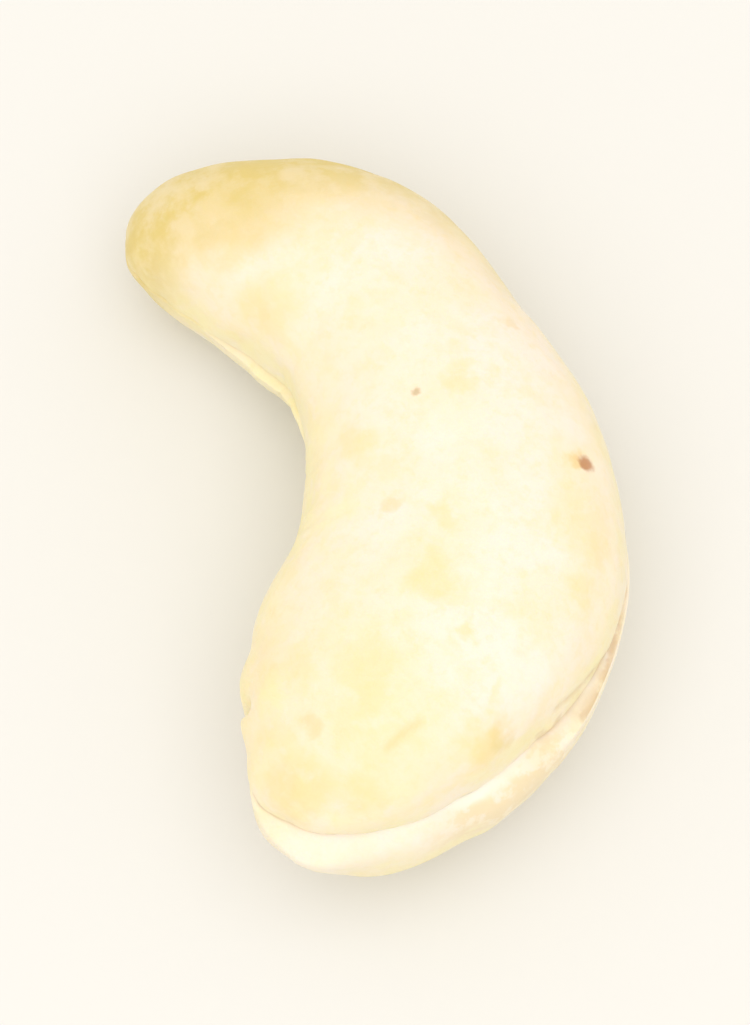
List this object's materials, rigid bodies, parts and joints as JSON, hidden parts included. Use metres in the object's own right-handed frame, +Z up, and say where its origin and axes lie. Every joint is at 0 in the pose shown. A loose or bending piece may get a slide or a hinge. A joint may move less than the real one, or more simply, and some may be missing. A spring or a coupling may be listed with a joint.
{
  "type": "cashew nut",
  "caption": "Whole peeled cashew kernel lying on its side: a curved seed, thick at one end and slim at the other, with a seam round its edge and a small nib inside the curve.",
  "frame": {"origin": "on the surface it rests on, under the middle of its outline seen from above", "axes": "+Z up through the flat side of the kernel; +Y along its length towards the slim end; the inside of its curve opens towards -X"},
  "size_m": [0.018, 0.0274, 0.011],
  "materials": {
    "kernel": "matt, slightly waxy, cream to straw"
  },
  "bodies": {
    "root": {"cashew_kernel": "kernel"}
  },
  "joints": []
}
